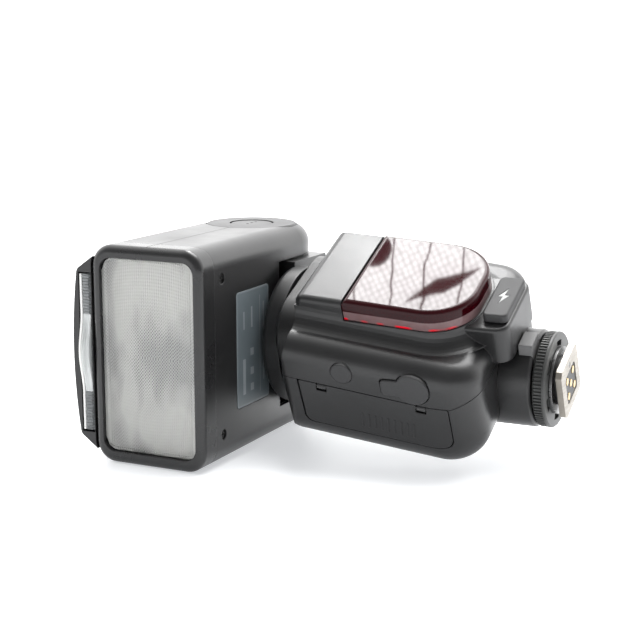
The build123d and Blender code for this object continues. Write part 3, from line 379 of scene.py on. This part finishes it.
plastic = moulded("black_plastic", (0.009, 0.009, 0.0095), 0.33, 0.4)
gloss_frame = moulded("gloss_frame", (0.010, 0.010, 0.0105), 0.28, 0.25, 0.0003, edge_lightening=0.12)
disc_plastic = moulded("disc_plastic", (0.022, 0.022, 0.023), 0.46, 0.5)
inner_plastic = moulded("inner_plastic", (0.03, 0.03, 0.031), 0.5, 0.5)
rubber = moulded("grey_rubber", (0.022, 0.022, 0.023), 0.6, 0.8, 0.0005)
key_rubber = moulded("key_rubber", (0.09, 0.09, 0.092), 0.6, 0.7, 0.0005)
ring_plastic = moulded("ring_plastic", (0.030, 0.031, 0.030), 0.45, 0.5, 0.0002)
index_plastic = moulded("index_grey", (0.11, 0.11, 0.11), 0.5, 0.6)
print_grey = moulded("print_grey", (0.36, 0.37, 0.36), 0.5, 0.4)
white_card = moulded("white_card", (0.85, 0.85, 0.83), 0.45, 0.4, 0.0003, 1.03)
lamp_plastic = moulded("lamp_clear", (0.75, 0.72, 0.72), 0.2, 0.3, 0.0004, 1.05)
can_sleeve = moulded("capacitor_sleeve", (0.02, 0.02, 0.05), 0.3, 0.3)
black_screw = metal("black_screw", (0.09, 0.09, 0.09), 0.35)
steel = metal("drawn_steel", (0.26, 0.26, 0.26), 0.3, (0.05, 1, 1))
mirror = metal("reflector_mirror", (0.92, 0.92, 0.93), 0.14, (1, 1, 0.05))
shoe_metal = metal("shoe_metal", (0.34, 0.315, 0.28), 0.40, (1, 0.08, 1))
gold = metal("gold_contacts", (0.50, 0.36, 0.16), 0.25)
tube_glass = moulded("tube_glass", (0.9, 0.93, 0.93), 0.06, 0.05, 0.0002, 1.02, Transmission_Weight=0.8)

looks = {
    "black_plastic": plastic,
    "frame_black": gloss_frame,
    "clear_ribbed": lens_material(),
    "clear_panel": panel_material(),
    "clear_tab": tab_material(),
    "print_grey": print_grey,
    "white_plastic": white_card,
    "plate_print": print_material(),
    "black_screw": black_screw,
    "disc_plastic": disc_plastic,
    "spring_steel": steel,
    "mirror_metal": mirror,
    "tube_glass": tube_glass,
    "electrode": steel,
    "inner_plastic": inner_plastic,
    "motor_steel": steel,
    "red_clear": red_material(),
    "lamp_clear": lamp_plastic,
    "rubber_grey": rubber,
    "key_rubber": key_rubber,
    "dial_plastic": plastic,
    "screen": screen_material(),
    "cell_jacket": cell_material(),
    "board": board_material(),
    "capacitor_can": can_sleeve,
    "index_grey": index_plastic,
    "ring_plastic": ring_plastic,
    "shoe_metal": shoe_metal,
    "gold": gold,
}
for entry in frame["record"]["subparts"]:
    mesh = nodes[entry["node"]].data
    mesh.materials.clear()
    mesh.materials.append(looks[entry["material_slot"]])

# ---------------------------------------------------------------- mesh pieces
def piece(name, points, faces, look, body, stands_for=(), soften=0.0):
    """A mesh that rides on a body and stands for some CAD nodes."""
    mesh = bpy.data.meshes.new(name)
    mesh.from_pydata([tuple(p) for p in points], [], faces)
    form = bmesh.new()
    form.from_mesh(mesh)
    bmesh.ops.remove_doubles(form, verts=form.verts, dist=1e-6)
    bmesh.ops.recalc_face_normals(form, faces=form.faces)
    form.to_mesh(mesh)
    form.free()
    made = bpy.data.objects.new(name, mesh)
    bpy.context.scene.collection.objects.link(made)
    mesh.materials.append(looks[look])
    if soften:
        bevel = made.modifiers.new("edges", "BEVEL")
        bevel.width = soften
        bevel.segments = 3
        bevel.limit_method = "ANGLE"
        bevel.angle_limit = radians(35)
        mesh.polygons.foreach_set("use_smooth", [True] * len(mesh.polygons))
    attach(made, body)
    if stands_for:
        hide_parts(*stands_for)
    return made


def ribbed_lens():
    """Acrylic plate with upright ridges, a plain rim and a row of prisms along its top and bottom edges."""
    low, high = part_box("fresnel_lens")
    centre = (low + high) / 2
    half_w, half_h, corner = (high.x - low.x) / 2, (high.z - low.z) / 2, 0.0042
    rim, step, depth, chamfer = 0.0011, 0.0004, 0.00016, 0.0003
    columns = [-half_w, -half_w + rim]
    ridges = int((2 * half_w - 2 * rim) / step)
    columns += [-half_w + rim + (i + 1) * (2 * half_w - 2 * rim) / ridges for i in range(ridges)]
    columns.append(half_w)

    def reach(x):
        into = max(0.0, abs(x) - (half_w - corner))
        return half_h - corner + sqrt(max(0.0, corner**2 - into**2))

    points, faces = [], []
    for i, x in enumerate(columns):
        h = reach(x)
        on_rim = i < 2 or i > len(columns) - 3
        relief = 0.0 if on_rim else depth * (1 + i % 2)
        inner_h = max(0.0, min(h - rim, half_h - rim))
        for z, y in (
            (-h, high.y),
            (-h, low.y + chamfer),
            (-h + chamfer, low.y),
            (-inner_h, low.y),
            (-inner_h, low.y + relief),
            (inner_h, low.y + relief),
            (inner_h, low.y),
            (h - chamfer, low.y),
            (h, low.y + chamfer),
            (h, high.y),
        ):
            points.append(Vector((centre.x + x, y, centre.z + z)))
    n = 10
    for i in range(len(columns) - 1):
        for k in range(n):
            a, b = i * n + k, i * n + (k + 1) % n
            faces.append((a, b, b + n, a + n))
    faces.append(tuple(range(n)))
    faces.append(tuple(range(len(points) - n, len(points))))
    piece("ribbed_lens", points, faces, "clear_ribbed", "head", ["fresnel_lens"])
    # prism rows
    for side, edge in (("bottom", -1), ("top", 1)):
        teeth_points, teeth_faces = [], []
        count = 34
        pitch = (2 * half_w - 2 * corner) / count
        for k in range(count):
            left = centre.x - half_w + corner + k * pitch
            z_out = centre.z + edge * (half_h - 0.0004)
            z_in = centre.z + edge * (half_h - rim + 0.0001)
            base = len(teeth_points)
            for x in (left + 0.15 * pitch, left + 0.85 * pitch):
                for z in (z_out, z_in):
                    teeth_points.append(Vector((x, low.y + 0.0001, z)))
            for z in (z_out, z_in):
                teeth_points.append(Vector((left + 0.5 * pitch, low.y - 0.0002, z)))
            teeth_faces += [
                (base, base + 1, base + 5, base + 4),
                (base + 4, base + 5, base + 3, base + 2),
                (base, base + 4, base + 2),
                (base + 1, base + 3, base + 5),
            ]
        piece(f"lens_prisms_{side}", teeth_points, teeth_faces, "clear_ribbed", "head")


def knurled_ring():
    """Locking ring: sawn teeth round the rim behind a plain lip, slots in its face, a plain bore."""
    low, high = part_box("lock_ring")
    centre = (low + high) / 2
    outer = (high.y - low.y) / 2
    bore = 0.00807
    width = high.x - low.x
    teeth, samples, tooth_depth, slot_depth = 84, 8, 0.00055, 0.0016
    slots, slot_turn, slot_in, slot_out = 6, 0.40, 0.0112, 0.0131
    rings = [  # place along the axis, radius, share of the tooth depth
        (0.0, bore, 0),
        (0.0, outer - 0.0016, 0),
        (0.0007, outer - 0.0003, 0),
        (0.0009, outer - 0.0001, 1),
        (width - 0.0012, outer - 0.0001, 1),
        (width - 0.0010, outer, 0),
        (width - 0.0004, outer, 0),
        (width, outer - 0.0004, 0),
        (width, slot_out, 0),
        (width, slot_in, 0),
        (width, bore + 0.0005, 0),
        (width - 0.0005, bore, 0),
    ]
    steps = teeth * samples
    points, faces = [], []
    for along, radius, share in rings:
        for k in range(steps):
            turn = 2 * pi * k / steps
            place = (k % samples) / samples
            r = radius - (tooth_depth * share if 0.45 < place < 0.95 else 0)
            points.append(Vector((low.x + along, centre.y + r * cos(turn), centre.z + r * sin(turn))))

    def in_slot(k):
        """Whether step k of the ring's turn is inside a slot."""
        share = (k + 0.5) / steps * slots
        return abs(share % 1 - 0.5) * 2 * pi / slots < slot_turn / 2

    face_row = 8
    for row in range(len(rings)):
        after = (row + 1) % len(rings)
        for k in range(steps):
            if row == face_row and in_slot(k):
                continue
            b = (k + 1) % steps
            faces.append((row * steps + k, row * steps + b, after * steps + b, after * steps + k))
    # slot walls and floors
    for k in filter(in_slot, range(steps)):
        corners = []
        for kk in (k, k + 1):
            t = 2 * pi * kk / steps
            for r in (slot_in, slot_out):
                for x in (width, width - slot_depth):
                    corners.append(Vector((low.x + x, centre.y + r * cos(t), centre.z + r * sin(t))))
        base = len(points)
        points += corners
        faces += [(base + 1, base + 3, base + 7, base + 5), (base, base + 1, base + 5, base + 4)]
        faces.append((base + 2, base + 6, base + 7, base + 3))
        for beside, offset in ((k - 1, 0), (k + 1, 4)):
            if not in_slot(beside):
                faces.append((base + offset, base + offset + 2, base + offset + 3, base + offset + 1))
    piece("knurled_ring", points, faces, "ring_plastic", "ring", ["lock_ring"])


def bar(points, faces, low, high):
    """Adds a plain box to a piece's points and faces."""
    base = len(points)
    for x in (low[0], high[0]):
        for y in (low[1], high[1]):
            for z in (low[2], high[2]):
                points.append(Vector((x, y, z)))
    for face in ((0, 1, 3, 2), (4, 6, 7, 5), (0, 4, 5, 1), (2, 3, 7, 6), (0, 2, 6, 4), (1, 5, 7, 3)):
        faces.append(tuple(base + f for f in face))


def diffuser():
    """Slide-out wide-angle panel: clear sheet, toothed front edge and a bowed pull tab."""
    low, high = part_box("wide_panel")
    tab_front = low.y
    front = tab_front + 2.0 * MM
    half = (high.z - low.z) / 2
    middle_z = (low.z + high.z) / 2
    points, faces = [], []
    sheet_x = low.x + 1.5 * MM
    # sheet, with a shallow ridge every 2 mm on its inner face
    ridges = 24
    profile = [(low.x, front + 0.4 * MM), (low.x, high.y)]
    for k in range(ridges, 0, -1):
        y = front + 1.5 * MM + (high.y - front - 1.5 * MM) * k / ridges
        profile += [(sheet_x, y), (sheet_x - 0.15 * MM, y - 1.0 * MM)]
    profile += [(sheet_x, front + 1.2 * MM)]
    for z in (middle_z - half, middle_z + half):
        for x, y in profile:
            points.append(Vector((x, y, z)))
    n = len(profile)
    for k in range(n):
        b = (k + 1) % n
        faces.append((k, b, b + n, k + n))
    faces += [tuple(range(n)), tuple(range(n, 2 * n))]
    # front lip and its teeth, beside the bezel
    lip_x = high.x - 0.7 * MM
    bar(points, faces, (low.x, front, middle_z - half), (lip_x, front + 1.2 * MM, middle_z + half))
    teeth = 52
    for k in range(teeth):
        z = middle_z - half + (k + 0.15) * 2 * half / teeth
        end = z + 0.7 * 2 * half / teeth
        bar(points, faces, (lip_x, front + 0.15 * MM, z), (high.x, front + 1.1 * MM, end))
    piece("diffuser_sheet", points, faces, "clear_panel", "diffuser", ["wide_panel"], 0.12 * MM)
    # pull tab
    points, faces = [], []
    steps = 24
    tab_half = 13 * MM
    for k in range(steps + 1):
        share = k / steps * 2 - 1
        bulge = 2.0 * MM * (cos(share * pi) + 1) / 2
        z = middle_z + share * tab_half
        for x, y in (
            (low.x, front + 0.3 * MM),
            (low.x, front - bulge),
            (low.x + 0.6 * MM, front - bulge),
            (low.x + 1.1 * MM, front - 0.55 * bulge),
            (low.x + 2.1 * MM, front - 0.55 * bulge),
            (low.x + 2.5 * MM, front - 0.9 * bulge),
            (low.x + 2.9 * MM, front - 0.8 * bulge),
            (low.x + 2.9 * MM, front + 0.3 * MM),
        ):
            points.append(Vector((x, y, z)))
    n = 8
    for k in range(steps):
        for m in range(n):
            b = (m + 1) % n
            faces.append((k * n + m, k * n + b, k * n + n + b, k * n + n + m))
    faces += [tuple(range(n)), tuple(range(steps * n, steps * n + n))]
    piece("diffuser_tab", points, faces, "clear_tab", "diffuser", (), 0.2 * MM)


def card():
    """White bounce card, whose front edge swells in the middle beside the pull tab."""
    low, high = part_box("bounce_card")
    steps = 32
    rim = []
    for k in range(steps + 1):
        share = k / steps * 2 - 1
        z = (low.z + high.z) / 2 + share * 13 * MM
        rim.append((low.y - 1.7 * MM * (cos(share * pi) + 1) / 2, z))
    outline = [(high.y, low.z), (low.y, low.z), *rim, (low.y, high.z), (high.y, high.z)]
    points = [Vector((x, y, z)) for x in (low.x, high.x) for y, z in outline]
    n = len(outline)
    faces = [(k, (k + 1) % n, (k + 1) % n + n, k + n) for k in range(n)]
    faces += [tuple(range(n)), tuple(range(n, 2 * n))]
    piece("white_card", points, faces, "white_plastic", "card", ["bounce_card"], 0.15 * MM)


def bolt_inlay():
    """Pale lightning sign laid in the power cover."""
    sign = [(0.6, 4.2), (-1.9, -0.4), (-0.2, -0.4), (-0.6, -4.2), (1.9, 0.4), (0.2, 0.4)]
    cover_x, sign_low, sign_high, shrink = 102.5, 22.75, 23.05, 0.9
    points = [body_at(cover_x + x * shrink, v * shrink, f) for f in (sign_low, sign_high) for x, v in sign]
    n = len(sign)
    faces = [(k, (k + 1) % n, (k + 1) % n + n, k + n) for k in range(n)]
    faces += [(0, 1, 2, 5), (2, 3, 4, 5), (n, n + 1, n + 2, n + 5), (n + 2, n + 3, n + 4, n + 5)]
    piece("bolt_inlay", points, faces, "print_grey", "power_flap", (), 0.0)


def coil_spring():
    """Round-wire spring under the release button."""
    low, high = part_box("release_spring")
    centre = (low + high) / 2
    wire, lift, turns, around, section = 0.3 * MM, 0.03 * MM, 2.5, 120, 10
    radius = (high.x - low.x) / 2 - wire
    start, rise = low.z + lift + wire, high.z - low.z - 2 * (lift + wire)
    points, faces = [], []
    for k in range(around + 1):
        turn = 2 * pi * turns * k / around
        for m in range(section):
            roll = 2 * pi * m / section
            r = radius + wire * cos(roll)
            z = start + rise * k / around + wire * sin(roll)
            points.append(Vector((centre.x + r * cos(turn), centre.y + r * sin(turn), z)))
    for k in range(around):
        for m in range(section):
            b = (m + 1) % section
            faces.append((k * section + m, k * section + b, (k + 1) * section + b, (k + 1) * section + m))
    faces += [tuple(range(section)), tuple(range(around * section, (around + 1) * section))]
    spring = piece("coil_spring", points, faces, "spring_steel", "head", ["release_spring"])
    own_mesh(spring)


ribbed_lens()
knurled_ring()
diffuser()
card()
bolt_inlay()
coil_spring()

# ---------------------------------------------------------------- studio
def table_top():
    """White table, far larger than the view."""
    bpy.ops.mesh.primitive_plane_add(size=12, location=(0, 2, 0))
    floor = bpy.context.object
    floor.name = "table_top"
    glow = (0.95, 0.97, 1.0, 1.0)
    shader = Shader("white_table", Roughness=0.45, Emission_Strength=0.50, Emission_Color=glow)
    shader.feed("Base Color", shader.blend(shader.noise(6, 2), (0.61, 0.615, 0.62), (0.64, 0.645, 0.65)))
    floor.data.materials.append(shader.material)


def sky():
    """Room light: white above and behind the object, dim on the camera's side."""
    world = bpy.data.worlds.new("studio")
    bpy.context.scene.world = world
    world.use_nodes = True
    tree = world.node_tree
    background = tree.nodes["Background"]
    place = tree.nodes.new("ShaderNodeTexCoord")
    facing = tree.nodes.new("ShaderNodeVectorMath")
    facing.operation = "DOT_PRODUCT"
    facing.inputs[1].default_value = (-0.35, 1.0, 0.0)
    tree.links.new(place.outputs["Generated"], facing.inputs[0])
    ramp = tree.nodes.new("ShaderNodeMapRange")
    ramp.interpolation_type = "SMOOTHSTEP"
    for key, value in zip(("From Min", "From Max", "To Min", "To Max"), (-0.6, 0.35, 0.40, 2.6)):
        ramp.inputs[key].default_value = value
    tree.links.new(facing.outputs["Value"], ramp.inputs["Value"])
    tree.links.new(ramp.outputs["Result"], background.inputs["Strength"])
    background.inputs["Color"].default_value = (1, 1, 1, 1)


def sun(name, direction, strength, spread):
    data = bpy.data.lights.new(name, "SUN")
    data.energy = strength
    data.angle = radians(spread)
    lamp = bpy.data.objects.new(name, data)
    lamp.rotation_euler = Vector(direction).to_track_quat("Z", "Y").to_euler()
    bpy.context.scene.collection.objects.link(lamp)


def light_panel():
    """Cellular light panel overhead, with cables across it, which glossy tops mirror."""
    aim = middle("red_window")
    direction = Vector((-0.33, 0.373, 0.867)).normalized()
    bpy.ops.mesh.primitive_plane_add(size=0.32, location=aim + direction * 0.8)
    panel = bpy.context.object
    panel.name = "light_panel"
    panel.rotation_euler = (-direction).to_track_quat("Z", "Y").to_euler()
    shader = Shader("light_cells", Roughness=1.0)
    cells = shader.node("ShaderNodeTexVoronoi")
    cells.inputs["Scale"].default_value = 190
    cells.inputs["Randomness"].default_value = 0.25
    shader.link(shader.place, cells.inputs["Vector"])
    bright = shader.span(cells.outputs["Distance"], 0.2, 0.62, 30.0, 17.0)
    # cables that hang in waves across the panel
    wander = shader.math("MULTIPLY", shader.noise(28, 1), 0.016)
    across = shader.math("ADD", shader.axis((1, 0.62, 0), (0.033, 0, 0)), wander)
    cable = shader.span(shader.math("PINGPONG", across, 0.018), 0.0008, 0.0012, 0.02, 1.0)
    # dark flags: a long leaf below the cables and a rounded one at their top
    ragged = shader.math("MULTIPLY", shader.noise(120, 3), 0.004)
    along = shader.math("ABSOLUTE", shader.axis((1, 0, 0), (0.068, 0, 0)))
    beside = shader.math("ABSOLUTE", shader.axis((0, 1, 0), (0, 0.018, 0)))
    leaf = shader.math("ADD", shader.math("ADD", beside, shader.math("MULTIPLY", along, 0.20)), ragged)
    corner = shader.node("ShaderNodeVectorMath", operation="DISTANCE")
    shader.link(shader.place, corner.inputs[0])
    corner.inputs[1].default_value = (0.026, -0.038, 0)
    nearest = shader.math("MINIMUM", leaf, shader.math("SUBTRACT", corner.outputs["Value"], 0.007))
    flag = shader.span(nearest, 0.0092, 0.0098, 0.02, 1.0)
    end = shader.span(shader.axis((1, 0, 0)), -0.036, -0.030, 0.04, 1.0)
    open_part = shader.math("MULTIPLY", shader.math("MULTIPLY", cable, flag), end)
    strength = shader.math("MULTIPLY", bright, open_part)
    shader.surface.inputs["Base Color"].default_value = (0, 0, 0, 1)
    shader.surface.inputs["Emission Color"].default_value = (1, 1, 1, 1)
    shader.feed("Emission Strength", strength)
    panel.data.materials.append(shader.material)


table_top()
sky()
sun("overhead", (0.1, 0.35, 0.93), 3.0, 40)
light_panel()

camera_data = bpy.data.cameras.new("camera")
camera_data.lens = 79.65
camera_data.sensor_width = 36
camera = bpy.data.objects.new("camera", camera_data)
camera.location = head_at(240.0, -432.1, 99.2)
aim = head_at(36.8, -7.1, 6.9) - camera.location
camera.rotation_euler = aim.to_track_quat("-Z", "Y").to_euler()
bpy.context.scene.collection.objects.link(camera)
bpy.context.scene.camera = camera
bpy.context.scene.view_settings.view_transform = "Standard"
